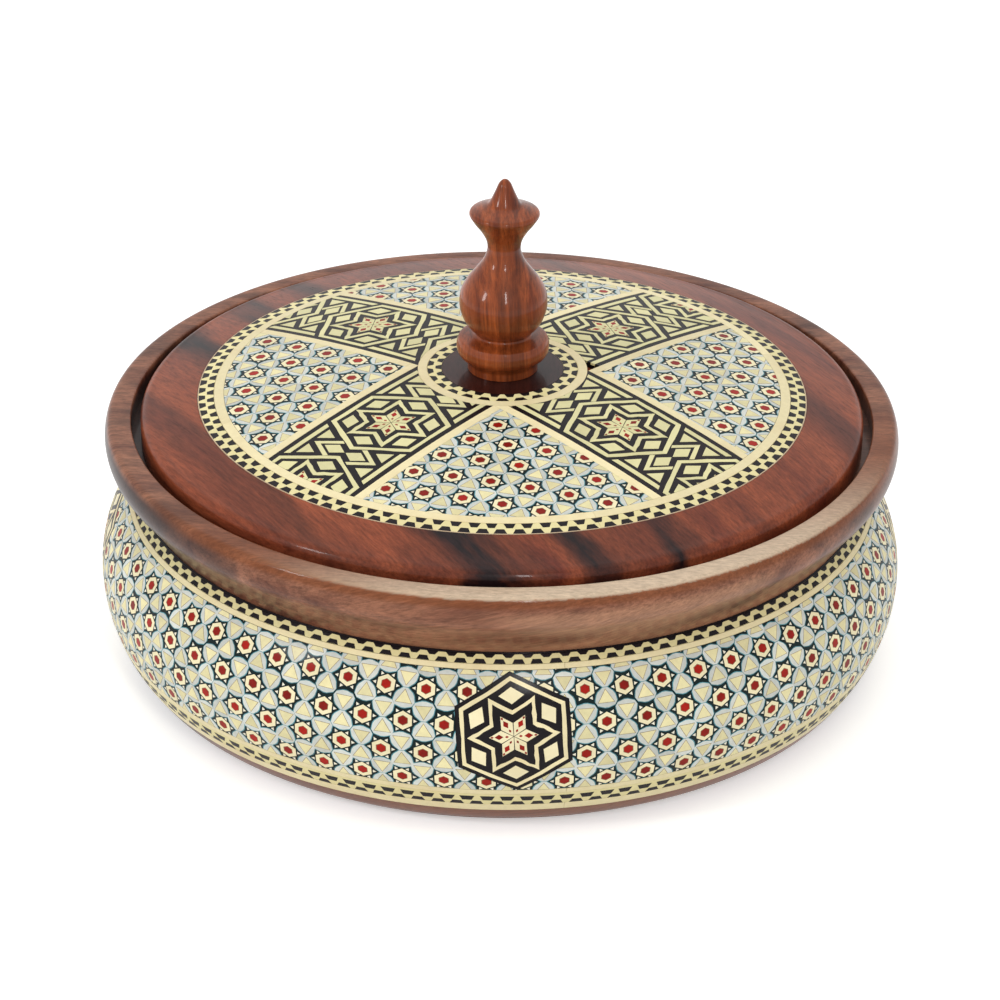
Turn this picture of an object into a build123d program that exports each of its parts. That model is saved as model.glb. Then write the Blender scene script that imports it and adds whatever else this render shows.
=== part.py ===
from build123d import *
from math import asin, cos, degrees, pi, radians, sin, sqrt
import os

# Inlaid sugar bowl: a turned wooden bowl with a domed lid that lifts off.
# Thin star-pattern marquetry is let in flush around the belly and over the lid.
# Millimetres, +Z up, origin at the centre of the flat base.

os.makedirs("parts", exist_ok=True)

# Bowl, outside
bowl_height = 65.2          # base to the rim's flat top
belly_radius = 102.3        # widest line of the belly
belly_line_height = 24.6    # height of that widest line
upper_belly_arc = 29.0      # section radius from the widest line up to the neck
lower_belly_arc = 33.45     # section radius from the widest line down
neck_rise = 22.2            # widest line up to the crease at the neck
lower_arc_angle = 38.8      # degrees of the lower arc before it rolls under
base_roll_arc = 6.7         # section radius of the roll under the belly
base_roll_end = 86.0        # degrees below level where the roll meets the upright base edge
lip_arc = 8.0               # section radius of the rounded lip
lip_inset = 2.0             # widest line of the belly in to that of the lip
lip_drop = 4.2              # rim top down to the widest line of the lip
lip_under_angle = 40.0      # degrees the lip rolls under before the neck curve
base_groove_radius = 70.0
base_groove_width = 1.6
base_groove_depth = 0.6

# Bowl, inside
rim_width = 6.7             # widest line of the lip in to the edge of the rebate
rebate_depth = 5.5          # rim top down to the ledge that carries the lid
ledge_width = 9.6           # the ledge the lid rests on
mouth_depth = 9.7           # straight part of the mouth below the ledge
belly_wall = 10.3           # widest line of the belly in to that of the hollow
cavity_line_height = 26.0
floor_thickness = 8.0

# Inlay on the belly, as widths along its curve from the neck down
veneer = 1.6                # thickness of every inlay piece
glue_gap = 0.1              # glue line under and beside the inlay
neck_line_width = 0.5
upper_tooth_width = 2.45
upper_cream_width = 1.4
field_drop = 10.3           # widest line down to the lower edge of the star field
lower_cream_width = 1.6
lower_tooth_width = 4.2
base_cream_width = 2.8
medallion_count = 4
medallion_reach = 15.4      # centre to corner of the six-sided medallion
medallion_tilt = 3.7        # degrees, as it was set by hand
medallion_turn = 2.1        # degrees from the front centre line
medallion_gap = 0.12        # cut around each medallion

# Lid
lid_side_gap = 2.4          # open gap between the lid's edge and the rim
lid_dome_radius = 436.0
lid_crown_rise = 11.37      # dome's top above the rim
lid_edge_round = 2.6
seat_gap = 0.3              # clearance where the lid rests on its ledge
spigot_gap = 0.6            # clearance of the lid's register in the mouth
spigot_depth = 3.0
spigot_width = 7.4          # width of the register's ring
crown_thickness = 10.17     # lid at its centre, dome to hollow

# Inlay on the lid, as radii and widths
lid_margin = 14.4           # plain wood between the inlay and the lid's edge
outer_tooth_width = 4.1
outer_cream_width = 2.5
inner_cream_radius = 21.4
inner_cream_width = 2.4
inner_tooth_width = 3.6
band_width = 31.3           # between the centre lines of a star band's two strips
strip_width = 2.3
# Each star band as laid by hand: its direction and its shift to the left
star_bands = {
    "back_right": (47.4, -1.8),
    "back_left": (142.4, -2.55),
    "front_left": (230.5, -2.6),
    "front_right": (314.4, 0.55),
}
sector_names = ("back", "left", "front", "right")

# Knob, heights above the lid's crown
tenon_radius = 4.0
tenon_length = 8.5
tenon_gap = 0.1
foot_radius = 8.8
foot_height = 1.0
disc_radius = 11.65
disc_low = 4.0
disc_mid = 6.3
disc_top = 8.4
groove_radius = 7.15
groove_height = 9.9
vase_radius = 11.0
vase_height = 18.4
shoulder_radius = 9.0
shoulder_height = 24.2
neck_radius = 4.2
neck_height = 32.3
flare_radius = 5.85
flare_height = 37.4
cap_radius = 8.73
cap_height = 41.9
cap_edge = 0.7              # half the thickness of the cap's edge
spire_radius = 4.1
spire_height = 44.4
spire_mid_radius = 2.1
spire_mid_height = 48.4
tip_radius = 1.1
tip_height = 50.3
knob_height = 50.9

# Worked out from the sizes above
lip_radius = belly_radius - lip_inset
rebate_radius = lip_radius - rim_width
mouth_radius = rebate_radius - ledge_width
cavity_radius = belly_radius - belly_wall
lid_radius = rebate_radius - lid_side_gap
inlay_radius = lid_radius - lid_margin
lid_crown_height = bowl_height + lid_crown_rise
hollow_crown = lid_crown_height - crown_thickness
upper_centre = belly_radius - upper_belly_arc
lower_centre = belly_radius - lower_belly_arc
neck_travel = upper_belly_arc * asin(neck_rise / upper_belly_arc)
ledge_height = bowl_height - rebate_depth
dome_centre = lid_crown_height - lid_dome_radius
neck_line_end = neck_travel - neck_line_width
upper_tooth_end = neck_line_end - upper_tooth_width
field_top = upper_tooth_end - upper_cream_width
lower_cream_end = -field_drop - lower_cream_width
lower_tooth_end = lower_cream_end - lower_tooth_width
inlay_end = lower_tooth_end - base_cream_width
field_middle = (field_top - field_drop) / 2


def belly_point(travel, depth=0.0):
    """Radius and height of a point on the belly, travel mm along its curve above
    the widest line and depth mm under the surface."""
    if travel >= 0:
        turn = travel / upper_belly_arc
        reach = upper_belly_arc - depth
        return (upper_centre + reach * cos(turn), belly_line_height + reach * sin(turn))
    turn = travel / lower_belly_arc
    reach = lower_belly_arc - depth
    return (lower_centre + reach * cos(turn), belly_line_height + reach * sin(turn))


def dome_height(radius, depth=0.0):
    """Height of the lid's dome at a radius, depth mm under its surface."""
    return dome_centre + sqrt((lid_dome_radius - depth) ** 2 - radius**2)


def belly_arc(low, high, depth=0.0):
    """Arc or two arcs along the belly curve, drawn into the open BuildLine."""
    if low < 0 < high:
        belly_arc(low, 0.0, depth)
        belly_arc(0.0, high, depth)
        return
    middle = (low + high) / 2
    ThreePointArc(belly_point(low, depth), belly_point(middle, depth), belly_point(high, depth))


def belly_ring(low, high, sweep=360.0):
    """A ring of inlay let into the belly, between two places along its curve."""
    with BuildPart() as ring:
        with BuildSketch(Plane.XZ):
            with BuildLine():
                belly_arc(low, high)
                Line(belly_point(high), belly_point(high, veneer))
                belly_arc(low, high, veneer)
                Line(belly_point(low, veneer), belly_point(low))
            make_face()
        revolve(axis=Axis.Z, revolution_arc=sweep)
    return ring.part


def medallion_corner(index, reach):
    """A corner of the medallion, seen square from the front of the bowl."""
    turn = radians(90 + medallion_tilt + 60 * index)
    across = reach * cos(turn)
    radius, height = belly_point(field_middle + reach * sin(turn))
    return (radius * sin(across / radius), height)


def medallion_plug(reach):
    """Six-sided prism that runs out through the front of the belly."""
    with BuildPart() as plug:
        with BuildSketch(Plane.XZ):
            Polygon(*[medallion_corner(index, reach) for index in range(6)], align=None)
        extrude(amount=belly_radius + veneer)
    return plug.part


def write(piece, name):
    """Label a finished piece and write it to its own file."""
    piece.label = name
    export_step(piece, f"parts/{name}.step")


# Bowl shell
# Turned from one block: rolled base, recess for the inlay, cove, rounded lip,
# rebate for the lid and the hollow.
lip_centre = (lip_radius - lip_arc, bowl_height - lip_drop)
rim_edge = (lip_centre[0] + sqrt(lip_arc**2 - lip_drop**2), bowl_height)
lip_under = (
    lip_centre[0] + lip_arc * cos(radians(lip_under_angle)),
    lip_centre[1] - lip_arc * sin(radians(lip_under_angle)),
)
roll_start = belly_point(-lower_belly_arc * radians(lower_arc_angle))
roll_centre = (
    roll_start[0] - base_roll_arc * cos(radians(lower_arc_angle)),
    roll_start[1] + base_roll_arc * sin(radians(lower_arc_angle)),
)


def roll_point(angle):
    return (
        roll_centre[0] + base_roll_arc * cos(radians(angle)),
        roll_centre[1] - base_roll_arc * sin(radians(angle)),
    )


recess_depth = veneer + glue_gap
cavity_arc_rise = ledge_height - mouth_depth - cavity_line_height
cavity_narrowing = cavity_radius - mouth_radius
cavity_arc = (cavity_arc_rise**2 + cavity_narrowing**2) / (2 * cavity_narrowing)
cavity_half_turn = asin(cavity_arc_rise / cavity_arc) / 2
cavity_middle = (
    cavity_radius - cavity_arc * (1 - cos(cavity_half_turn)),
    cavity_line_height + cavity_arc * sin(cavity_half_turn),
)
floor_corner = cavity_line_height - floor_thickness
floor_corner_middle = (
    cavity_radius - floor_corner * (1 - cos(pi / 4)),
    cavity_line_height - floor_corner * sin(pi / 4),
)
base_edge = roll_point(base_roll_end)
with BuildPart() as bowl_shell:
    with BuildSketch(Plane.XZ):
        with BuildLine():
            Line((0, 0), (base_edge[0], 0))
            Line((base_edge[0], 0), base_edge)
            ThreePointArc(base_edge, roll_point((base_roll_end + lower_arc_angle) / 2), roll_start)
            belly_arc(-lower_belly_arc * radians(lower_arc_angle), inlay_end - glue_gap)
            Line(belly_point(inlay_end - glue_gap), belly_point(inlay_end - glue_gap, recess_depth))
            belly_arc(inlay_end - glue_gap, neck_travel + glue_gap, recess_depth)
            Line(
                belly_point(neck_travel + glue_gap, recess_depth),
                belly_point(neck_travel + glue_gap),
            )
            TangentArc(
                lip_under,
                belly_point(neck_travel + glue_gap),
                tangent=(-sin(radians(lip_under_angle)), -cos(radians(lip_under_angle))),
            )
            ThreePointArc(
                lip_under,
                (lip_radius, lip_centre[1]),
                rim_edge,
            )
            Line(rim_edge, (rebate_radius, bowl_height))
            Line((rebate_radius, bowl_height), (rebate_radius, ledge_height))
            Line((rebate_radius, ledge_height), (mouth_radius, ledge_height))
            Line((mouth_radius, ledge_height), (mouth_radius, ledge_height - mouth_depth))
            ThreePointArc(
                (mouth_radius, ledge_height - mouth_depth),
                cavity_middle,
                (cavity_radius, cavity_line_height),
            )
            ThreePointArc(
                (cavity_radius, cavity_line_height),
                floor_corner_middle,
                (cavity_radius - floor_corner, floor_thickness),
            )
            Line((cavity_radius - floor_corner, floor_thickness), (0, floor_thickness))
            Line((0, floor_thickness), (0, 0))
        make_face()
    revolve(axis=Axis.Z)
    with BuildSketch(Plane.XY):
        Circle(base_groove_radius + base_groove_width / 2)
        Circle(base_groove_radius - base_groove_width / 2, mode=Mode.SUBTRACT)
    extrude(amount=base_groove_depth, mode=Mode.SUBTRACT)
write(bowl_shell.part, "bowl_shell")

# Belly bands
# Strips of inlay bent round the belly, one above the other from the neck down.
seam = glue_gap / 2
write(belly_ring(neck_line_end + seam, neck_travel), "neck_black_line")
write(belly_ring(upper_tooth_end + seam, neck_line_end - seam), "upper_tooth_band")
write(belly_ring(field_top + seam, upper_tooth_end - seam), "upper_cream_line")
write(belly_ring(lower_cream_end + seam, -field_drop - seam), "lower_cream_line")
write(belly_ring(lower_tooth_end + seam, lower_cream_end - seam), "lower_tooth_band")
write(belly_ring(inlay_end, lower_tooth_end - seam), "base_cream_line")

# Medallions
# Six-sided plates cut from a star rod and bent to the belly, a quarter turn apart.
medallion_names = ("front", "right", "back", "left")
medallion_step = 360 / medallion_count
with BuildPart() as medallion:
    add(belly_ring(-field_drop + seam, field_top - seam))
    add(medallion_plug(medallion_reach), mode=Mode.INTERSECT)
for index, name in enumerate(medallion_names):
    turn = medallion_turn + medallion_step * index
    write(medallion.part.rotate(Axis.Z, turn), f"medallion_{name}")

# Belly panels
# Sheets of star marquetry from one medallion to the next, cut round their sides.
panel_names = ("front_right", "back_right", "back_left", "front_left")
panel_inset = degrees(seam / belly_radius)
quarter_turn = 90
with BuildPart() as belly_panel:
    add(belly_ring(-field_drop + seam, field_top - seam, medallion_step - 2 * panel_inset))
    clear_plug = medallion_plug(medallion_reach + medallion_gap)
    add(clear_plug.rotate(Axis.Z, quarter_turn - panel_inset), mode=Mode.SUBTRACT)
    add(
        clear_plug.rotate(Axis.Z, quarter_turn - panel_inset + medallion_step),
        mode=Mode.SUBTRACT,
    )
for index, name in enumerate(panel_names):
    turn = medallion_turn + panel_inset - quarter_turn + medallion_step * index
    write(belly_panel.part.rotate(Axis.Z, turn), f"belly_panel_{name}")

# Lid disc
# Turned disc with a domed top, a rounded edge, a recess for the inlay, a register
# that drops into the mouth and a hollow underside.
seat_height = ledge_height + seat_gap
spigot_radius = mouth_radius - spigot_gap
hollow_radius = spigot_radius - spigot_width
spigot_bottom = seat_height - spigot_depth
recess_radius = inlay_radius + glue_gap
hollow_rise = hollow_crown - spigot_bottom
hollow_arc = (hollow_radius**2 + hollow_rise**2) / (2 * hollow_rise)
hollow_middle = (
    hollow_radius / 2,
    hollow_crown - hollow_arc + sqrt(hollow_arc**2 - (hollow_radius / 2) ** 2),
)
edge_top = (lid_radius - lid_edge_round, dome_height(lid_radius - lid_edge_round))
with BuildPart() as lid_disc:
    with BuildSketch(Plane.XZ):
        with BuildLine():
            ThreePointArc(
                (0, dome_height(0, recess_depth)),
                (recess_radius / 2, dome_height(recess_radius / 2, recess_depth)),
                (recess_radius, dome_height(recess_radius, recess_depth)),
            )
            Line(
                (recess_radius, dome_height(recess_radius, recess_depth)),
                (recess_radius, dome_height(recess_radius)),
            )
            ThreePointArc(
                (recess_radius, dome_height(recess_radius)),
                ((recess_radius + edge_top[0]) / 2, dome_height((recess_radius + edge_top[0]) / 2)),
                edge_top,
            )
            ThreePointArc(
                edge_top,
                (
                    edge_top[0] + lid_edge_round * sin(pi / 4),
                    edge_top[1] - lid_edge_round * (1 - cos(pi / 4)),
                ),
                (lid_radius, edge_top[1] - lid_edge_round),
            )
            Line((lid_radius, edge_top[1] - lid_edge_round), (lid_radius, seat_height))
            Line((lid_radius, seat_height), (spigot_radius, seat_height))
            Line((spigot_radius, seat_height), (spigot_radius, spigot_bottom))
            Line((spigot_radius, spigot_bottom), (hollow_radius, spigot_bottom))
            ThreePointArc((hollow_radius, spigot_bottom), hollow_middle, (0, hollow_crown))
            Line((0, hollow_crown), (0, dome_height(0, recess_depth)))
        make_face()
    revolve(axis=Axis.Z)
    with BuildSketch(Plane.XY.offset(lid_crown_height - tenon_length - tenon_gap)):
        Circle(tenon_radius + tenon_gap)
    extrude(amount=tenon_length, mode=Mode.SUBTRACT)
write(lid_disc.part, "lid_disc")

# Lid inlay
# Every piece is cut out of one domed sheet as thick as the veneer.
outer_cream_radius = inlay_radius - outer_tooth_width
pattern_radius = outer_cream_radius - outer_cream_width
inner_tooth_radius = inner_cream_radius - inner_cream_width
centre_disc_radius = inner_tooth_radius - inner_tooth_width
sheet_bottom = dome_height(inlay_radius, veneer)
sheet_height = lid_crown_height - sheet_bottom
with BuildPart() as domed_sheet:
    with BuildSketch(Plane.XZ):
        with BuildLine():
            ThreePointArc(
                (0, dome_height(0)),
                (inlay_radius / 2, dome_height(inlay_radius / 2)),
                (inlay_radius, dome_height(inlay_radius)),
            )
            Line((inlay_radius, dome_height(inlay_radius)), (inlay_radius, sheet_bottom))
            ThreePointArc(
                (inlay_radius, sheet_bottom),
                (inlay_radius / 2, dome_height(inlay_radius / 2, veneer)),
                (0, dome_height(0, veneer)),
            )
            Line((0, dome_height(0, veneer)), (0, dome_height(0)))
        make_face()
    revolve(axis=Axis.Z)


def cut_from_sheet(outline):
    """The part of the domed sheet inside an outline drawn from above."""
    with BuildPart() as piece:
        with BuildSketch(Plane.XY.offset(sheet_bottom)):
            add(outline)
        extrude(amount=sheet_height)
        add(domed_sheet.part, mode=Mode.INTERSECT)
    return piece.part


def flat_ring(outer, inner):
    """Ring seen from above."""
    with BuildSketch() as ring:
        Circle(outer)
        Circle(inner, mode=Mode.SUBTRACT)
    return ring.sketch


def lane(name, low, high):
    """Straight lane along a star band, between two distances left of its middle."""
    direction, shift = star_bands[name]
    with BuildSketch(Plane.XY) as strip:
        with Locations(Location((0, 0, 0), (0, 0, direction))):
            with Locations((inlay_radius / 2, shift + (low + high) / 2)):
                Rectangle(inlay_radius, high - low)
    return strip.sketch


write(cut_from_sheet(flat_ring(inlay_radius, outer_cream_radius + seam)), "lid_outer_tooth_band")
write(
    cut_from_sheet(flat_ring(outer_cream_radius - seam, pattern_radius + seam)),
    "lid_outer_cream_ring",
)
write(
    cut_from_sheet(flat_ring(inner_cream_radius - seam, inner_tooth_radius + seam)),
    "lid_inner_cream_ring",
)
write(
    cut_from_sheet(flat_ring(inner_tooth_radius - seam, centre_disc_radius + seam)),
    "lid_inner_tooth_band",
)
write(
    cut_from_sheet(flat_ring(centre_disc_radius - seam, tenon_radius + tenon_gap)),
    "lid_centre_disc",
)

# Star bands and their cream strips
# Four straight bands run out from the middle. Each has a cream strip down both
# sides, and the strips of neighbours butt together near the inner ring.
pattern = flat_ring(pattern_radius - seam, inner_cream_radius + seam)
strip_in = (band_width - strip_width) / 2
strip_out = (band_width + strip_width) / 2
band_names = tuple(star_bands)
with BuildSketch() as all_bands:
    for name in band_names:
        add(lane(name, -strip_out - glue_gap, strip_out + glue_gap))
for index, name in enumerate(band_names):
    left_name = band_names[(index + 1) % len(band_names)]
    right_name = band_names[index - 1]
    with BuildSketch() as core:
        add(lane(name, seam - strip_in, strip_in - seam))
        add(pattern, mode=Mode.INTERSECT)
        add(lane(left_name, -strip_in - seam, strip_in + seam), mode=Mode.SUBTRACT)
    write(cut_from_sheet(core.sketch), f"lid_star_band_{name}")
    with BuildSketch() as left_strip:
        add(lane(name, strip_in, strip_out))
        add(pattern, mode=Mode.INTERSECT)
        add(lane(left_name, -strip_out - glue_gap, strip_out), mode=Mode.SUBTRACT)
    write(cut_from_sheet(left_strip.sketch), f"lid_strip_{name}_left")
    with BuildSketch() as right_strip:
        add(lane(name, -strip_out, -strip_in))
        add(pattern, mode=Mode.INTERSECT)
        add(lane(right_name, -strip_in - glue_gap, strip_in), mode=Mode.SUBTRACT)
    write(cut_from_sheet(right_strip.sketch), f"lid_strip_{name}_right")

# Lid sectors
# The four fans of star marquetry between the bands.
with BuildSketch() as fans:
    add(pattern)
    add(all_bands.sketch, mode=Mode.SUBTRACT)
fan_faces = fans.sketch.faces().sort_by(SortBy.AREA)[-len(sector_names):]
for index, name in enumerate(sector_names):
    middle = radians(quarter_turn * (index + 1))
    reach = (pattern_radius + inner_cream_radius) / 2
    spot = Vector(reach * cos(middle), reach * sin(middle))
    fan = min(fan_faces, key=lambda face: (face.center() - spot).length)
    write(cut_from_sheet(fan), f"lid_sector_{name}")

# Knob
# Turned in one piece with a tenon that is glued into the lid.
ground = lid_crown_height


def up(radius, height):
    """Point of the knob's outline, height above the lid's crown."""
    return (radius, ground + height)


cap_under_radius = cap_radius - cap_edge / 4
cap_over_radius = cap_radius - cap_edge / 2
tip_rise = knob_height - tip_height
tip_arc = (tip_radius**2 + tip_rise**2) / (2 * tip_rise)
tip_half_turn = asin(tip_radius / tip_arc) / 2
with BuildPart() as lid_knob:
    with BuildSketch(Plane.XZ):
        with BuildLine():
            Line(up(0, -tenon_length), up(tenon_radius, -tenon_length))
            Line(up(tenon_radius, -tenon_length), up(tenon_radius, 0))
            Line(up(tenon_radius, 0), up(foot_radius, 0))
            Line(up(foot_radius, 0), up(foot_radius, foot_height))
            disc_under = disc_radius - (disc_mid - disc_low) / 3
            disc_over = disc_radius - (disc_top - disc_mid) / 4
            Spline(
                up(foot_radius, foot_height),
                up(disc_under, disc_low),
                tangents=[(0, 1), (1, 0.6)],
            )
            ThreePointArc(up(disc_under, disc_low), up(disc_radius, disc_mid), up(disc_over, disc_top))
            groove_half = (groove_height - disc_top) / 3
            groove_low = up(groove_radius + groove_half / 2, groove_height - groove_half)
            groove_high = up(groove_radius + groove_half / 2, groove_height + groove_half)
            Line(up(disc_over, disc_top), groove_low)
            ThreePointArc(groove_low, up(groove_radius, groove_height), groove_high)
            Spline(groove_high, up(vase_radius, vase_height), tangents=[(1, 0.6), (0, 1)])
            Spline(
                up(vase_radius, vase_height),
                up(shoulder_radius, shoulder_height),
                up(neck_radius, neck_height),
                tangents=[(0, 1), (0, 1)],
            )
            Spline(
                up(neck_radius, neck_height),
                up(flare_radius, flare_height),
                up(cap_under_radius, cap_height - cap_edge),
                tangents=[(0, 1), (1, 1)],
            )
            ThreePointArc(
                up(cap_under_radius, cap_height - cap_edge),
                up(cap_radius, cap_height),
                up(cap_over_radius, cap_height + cap_edge),
            )
            Line(up(cap_over_radius, cap_height + cap_edge), up(spire_radius, spire_height))
            ThreePointArc(
                up(spire_radius, spire_height),
                up(spire_mid_radius, spire_mid_height),
                up(tip_radius, tip_height),
            )
            ThreePointArc(
                up(tip_radius, tip_height),
                up(tip_arc * sin(tip_half_turn), knob_height - tip_arc * (1 - cos(tip_half_turn))),
                up(0, knob_height),
            )
            Line(up(0, knob_height), up(0, -tenon_length))
        make_face()
    revolve(axis=Axis.Z)
write(lid_knob.part, "lid_knob")
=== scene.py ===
from math import asin, atan2, ceil, cos, degrees, floor, hypot, pi, radians, sin, sqrt
from random import Random

import bpy
from mathutils import Matrix, Vector


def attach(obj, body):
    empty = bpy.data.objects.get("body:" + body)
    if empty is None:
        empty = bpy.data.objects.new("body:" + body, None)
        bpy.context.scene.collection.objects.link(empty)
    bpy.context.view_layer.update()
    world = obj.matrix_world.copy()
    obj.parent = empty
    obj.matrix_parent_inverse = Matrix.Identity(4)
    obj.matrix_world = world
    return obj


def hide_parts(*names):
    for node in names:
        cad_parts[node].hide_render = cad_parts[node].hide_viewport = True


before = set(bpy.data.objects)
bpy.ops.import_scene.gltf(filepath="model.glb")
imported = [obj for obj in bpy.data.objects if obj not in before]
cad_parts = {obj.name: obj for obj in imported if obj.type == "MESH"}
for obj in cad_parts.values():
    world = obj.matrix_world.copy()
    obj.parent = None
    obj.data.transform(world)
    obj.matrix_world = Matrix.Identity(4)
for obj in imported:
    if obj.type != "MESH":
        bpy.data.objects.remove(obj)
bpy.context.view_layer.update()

# Bowl shell
# The real piece is one block of walnut turned on a lathe, with a rolled base, a
# shallow recess for the inlay, a cove, a rounded lip and a rebate for the lid.
# It is sanded and then built up with clear lacquer to a high gloss.
MM = 0.001
belly_radius = 102.3
belly_line_height = 24.6
upper_belly_arc = 29.0
lower_belly_arc = 33.45
lower_arc_angle = 38.8
base_roll_arc = 6.7
base_roll_end = 86
groove_inner = 69.2
groove_outer = 70.8
groove_depth = 0.6
neck_rise = 22.2
lip_radius = 100.3
lip_arc = 8.0
lip_drop = 4.2
lip_under_angle = 40
lip_over_angle = 24
lip_corner = 6.85
lip_flat = 5.6
bowl_height = 65.2
rim_inner_radius = 93.6
rim_round = 0.7
ledge_height = 59.7
mouth_radius = 84.0
mouth_depth = 9.7
mouth_round = 0.4
cavity_radius = 92.0
cavity_line_height = 26.0
floor_arc = 18.0
floor_flat = 40
glue_gap = 0.1
neck_travel = upper_belly_arc * asin(neck_rise / upper_belly_arc)
inlay_end = -18.9
recess_depth = 1.7


def belly_place(travel, depth=0.0):
    """Radius and height on the belly, travel mm along its curve above the widest line."""
    arc = upper_belly_arc if travel >= 0 else lower_belly_arc
    centre = belly_radius - arc
    return (
        centre + (arc - depth) * cos(travel / arc),
        belly_line_height + (arc - depth) * sin(travel / arc),
    )


def arc_points(centre, radius, start, end, steps):
    """Points along an arc of the section, angles in degrees above level."""
    return [
        (
            centre[0] + radius * cos(radians(start + (end - start) * i / steps)),
            centre[1] + radius * sin(radians(start + (end - start) * i / steps)),
        )
        for i in range(steps + 1)
    ]


def soft_corner(before, corner, after, steps=5):
    """A sanded corner between two points of the section."""
    points = []
    for i in range(steps + 1):
        t = i / steps
        points.append(
            tuple(
                (1 - t) ** 2 * before[k] + 2 * t * (1 - t) * corner[k] + t**2 * after[k]
                for k in (0, 1)
            )
        )
    return points


def turn_on_lathe(name, section, segments=192, crease=32):
    """A closed turned piece from its closed section, in mm, drawn base first."""
    vertices = []
    rows = []
    for radius, height in section:
        if radius < 1e-6:
            rows.append([len(vertices)])
            vertices.append((0.0, 0.0, height * MM))
            continue
        rows.append(list(range(len(vertices), len(vertices) + segments)))
        for k in range(segments):
            turn = 2 * pi * k / segments
            vertices.append((radius * sin(turn) * MM, -radius * cos(turn) * MM, height * MM))
    faces = []
    for index, low in enumerate(rows):
        high = rows[(index + 1) % len(rows)]
        if len(low) == 1 and len(high) == 1:
            continue
        for k in range(segments):
            after = (k + 1) % segments
            if len(low) == 1:
                faces.append((low[0], high[after], high[k]))
            elif len(high) == 1:
                faces.append((low[k], low[after], high[0]))
            else:
                faces.append((low[k], low[after], high[after], high[k]))
    mesh = bpy.data.meshes.new(name)
    mesh.from_pydata(vertices, [], faces)
    mesh.validate()
    mesh.shade_smooth()
    mesh.set_sharp_from_angle(angle=radians(crease))
    piece = bpy.data.objects.new(name, mesh)
    bpy.context.scene.collection.objects.link(piece)
    return piece


def node_group(name, inputs, outputs):
    """An empty shader node group, with its sockets given as names and kinds."""
    group = bpy.data.node_groups.new(name, "ShaderNodeTree")
    for way, sockets in (("INPUT", inputs), ("OUTPUT", outputs)):
        for socket_name, kind in sockets.items():
            group.interface.new_socket(socket_name, in_out=way, socket_type="NodeSocket" + kind)
    return group, group.nodes.new("NodeGroupInput").outputs, group.nodes.new("NodeGroupOutput")


def set_sockets(tree, node, values):
    """Link or set input sockets by name or number."""
    for socket, value in values.items():
        if isinstance(value, bpy.types.NodeSocket):
            tree.links.new(value, node.inputs[socket])
        else:
            node.inputs[socket].default_value = value


def add_node(tree, kind, values=(), **settings):
    """A shader node with its settings and its input sockets."""
    node = tree.nodes.new("ShaderNode" + kind)
    for key, value in settings.items():
        setattr(node, key, value)
    set_sockets(tree, node, dict(values))
    return node


def noise_over(tree, place, scale, detail, roughness=0.5, distortion=0.0):
    values = {"Vector": place, "Scale": scale, "Detail": detail}
    values.update({"Roughness": roughness, "Distortion": distortion})
    return add_node(tree, "TexNoise", values).outputs["Fac"]


def ranged(tree, value, start, end, low=0.0, high=1.0, easing="LINEAR"):
    """A value taken from start to end over to low to high."""
    values = {"Value": value, "From Min": start, "From Max": end, "To Min": low, "To Max": high}
    return add_node(tree, "MapRange", values, interpolation_type=easing).outputs[0]


def reckoned(tree, operation, *values, clamp=False):
    sockets = dict(enumerate(values))
    return add_node(tree, "Math", sockets, operation=operation, use_clamp=clamp).outputs[0]


def mixed(tree, amount, under, over, blend="MIX"):
    sockets = {0: amount, 6: under, 7: over}
    return add_node(tree, "Mix", sockets, data_type="RGBA", blend_type=blend).outputs[2]


def measured(tree, place, way):
    """How far a place lies along a direction."""
    return add_node(tree, "VectorMath", {0: place, 1: way}, operation="DOT_PRODUCT").outputs["Value"]


def bumped(tree, height, strength, distance):
    """A bump from a height, distance in mm."""
    values = {"Height": height, "Strength": strength, "Distance": distance * MM}
    return add_node(tree, "Bump", values).outputs[0]


def new_material(name):
    """A material with its node tree and its shader."""
    material = bpy.data.materials.new(name)
    material.use_nodes = True
    return material, material.node_tree, material.node_tree.nodes["Principled BSDF"]


def srgb(red, green, blue):
    """Screen colour 0 to 255 as the linear colour of a socket."""
    linear = []
    for value in (red, green, blue):
        value = value / 255
        linear.append(value / 12.92 if value <= 0.04045 else ((value + 0.055) / 1.055) ** 2.4)
    return (*linear, 1.0)


# Wood figure: broad bands of colour, dark streaks, fine fibres and pores, all drawn
# out along the grain
figure, wood_in, wood_out = node_group(
    "wood_figure",
    {"Place": "Vector", "Pale": "Color", "Deep": "Color", "Streak": "Color", "Band Scale": "Float",
     "Streak Amount": "Float", "Fibre Scale": "Float", "Laid Streaks": "Float"},
    {"Color": "Color", "Height": "Float", "Pores": "Float"},
)
bands = noise_over(figure, wood_in["Place"], wood_in["Band Scale"], 6.0, 0.62, 0.35)
band_spread = ranged(figure, bands, 0.32, 0.68)
streak_scale = reckoned(figure, "MULTIPLY", wood_in["Band Scale"], 0.55)
streaks = noise_over(figure, wood_in["Place"], streak_scale, 3.0, 0.5, 0.2)
streak_cut = ranged(figure, streaks, 0.52, 0.64, easing="SMOOTHSTEP")
grown_streaks = reckoned(figure, "MULTIPLY", streak_cut, wood_in["Streak Amount"])
broken = ranged(figure, bands, 0.3, 0.7, 0.6, 1.3)
laid_streaks = reckoned(figure, "MULTIPLY", broken, wood_in["Laid Streaks"])
all_streaks = reckoned(figure, "MAXIMUM", grown_streaks, laid_streaks, clamp=True)
fibres = noise_over(figure, wood_in["Place"], wood_in["Fibre Scale"], 4.0, 0.75)
pores = ranged(figure, fibres, 0.6, 0.75)
banded = mixed(figure, band_spread, wood_in["Deep"], wood_in["Pale"])
streaked = mixed(figure, all_streaks, banded, wood_in["Streak"])
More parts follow.
